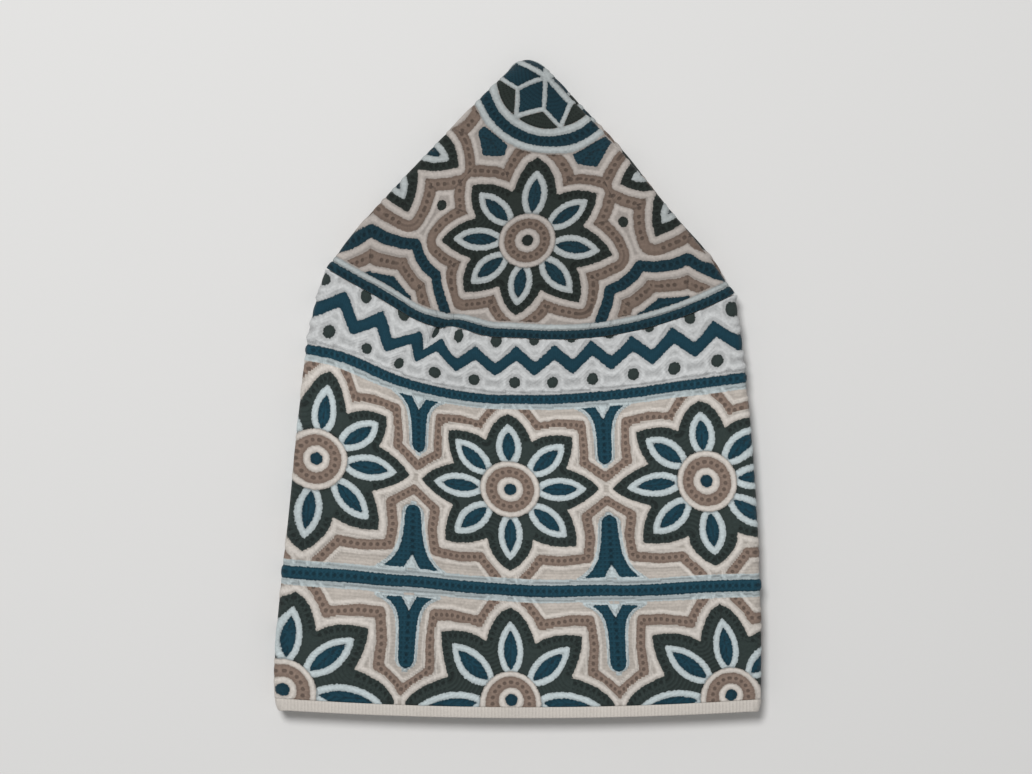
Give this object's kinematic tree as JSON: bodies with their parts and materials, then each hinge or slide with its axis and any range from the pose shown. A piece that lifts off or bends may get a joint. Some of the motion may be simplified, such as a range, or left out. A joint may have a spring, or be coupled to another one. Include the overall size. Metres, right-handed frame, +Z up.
{
  "type": "folded kumma cap",
  "caption": "Embroidered cloth kumma cap folded flat into quarters, with a round crown, a tall side band and a narrow ribbed hem edge.",
  "frame": {"origin": "centre of the folded cap's outline, on the floor that it lies on", "axes": "+Y from the hem towards the crown's tip, +X to the right across the open folds with the book fold on the left, +Z up through the stack of layers"},
  "size_m": [0.1428, 0.1924, 0.0109],
  "materials": {
    "crown_cloth": "matte cotton, densely embroidered in blue, green and brown thread",
    "band_cloth": "matte cream cotton with coloured thread embroidery",
    "hem_cloth": "matte cream cotton, finely ribbed"
  },
  "bodies": {
    "root": {"crown": "crown_cloth", "side_band": "band_cloth", "hem_edge": "hem_cloth"}
  },
  "joints": []
}
